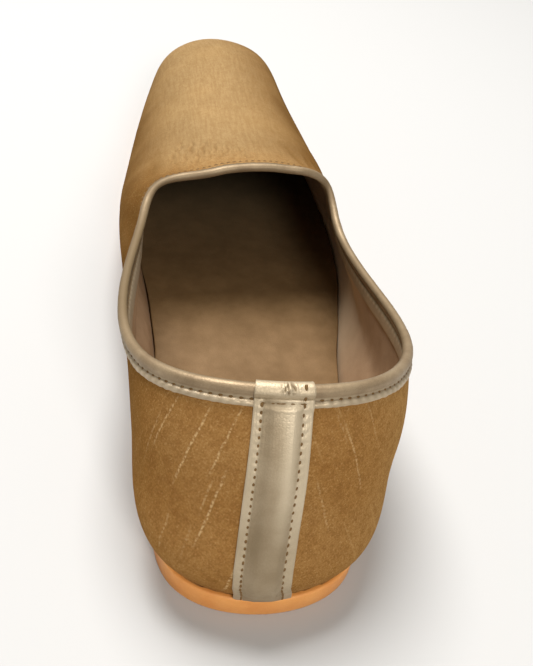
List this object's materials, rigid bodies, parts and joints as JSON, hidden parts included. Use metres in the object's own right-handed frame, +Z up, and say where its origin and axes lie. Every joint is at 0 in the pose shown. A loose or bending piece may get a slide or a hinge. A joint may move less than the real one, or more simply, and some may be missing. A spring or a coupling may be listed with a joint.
{
  "type": "mojari shoe",
  "caption": "Slip-on right shoe with a hollow silk upper, leather-bound open collar, heel strip and a thin flat leather sole.",
  "frame": {"origin": "on the floor, on the sole's flat heel spot, under the middle of the heel", "axes": "+Y towards the toe, +X towards the outer side of a right foot, +Z up"},
  "size_m": [0.0878, 0.3052, 0.0725],
  "materials": {
    "sole_leather": "smooth tan leather with a waxed cut edge",
    "lining_leather": "plain matt lining leather",
    "silk": "golden brown slubbed silk with a soft sheen",
    "binding_leather": "pale bronze leather with a soft metallic gloss",
    "strip_leather": "pale bronze leather with a soft metallic gloss"
  },
  "bodies": {
    "root": {"outsole": "sole_leather", "insole": "lining_leather", "upper": "silk", "topline_binding": "binding_leather", "heel_strip": "strip_leather"}
  },
  "joints": []
}
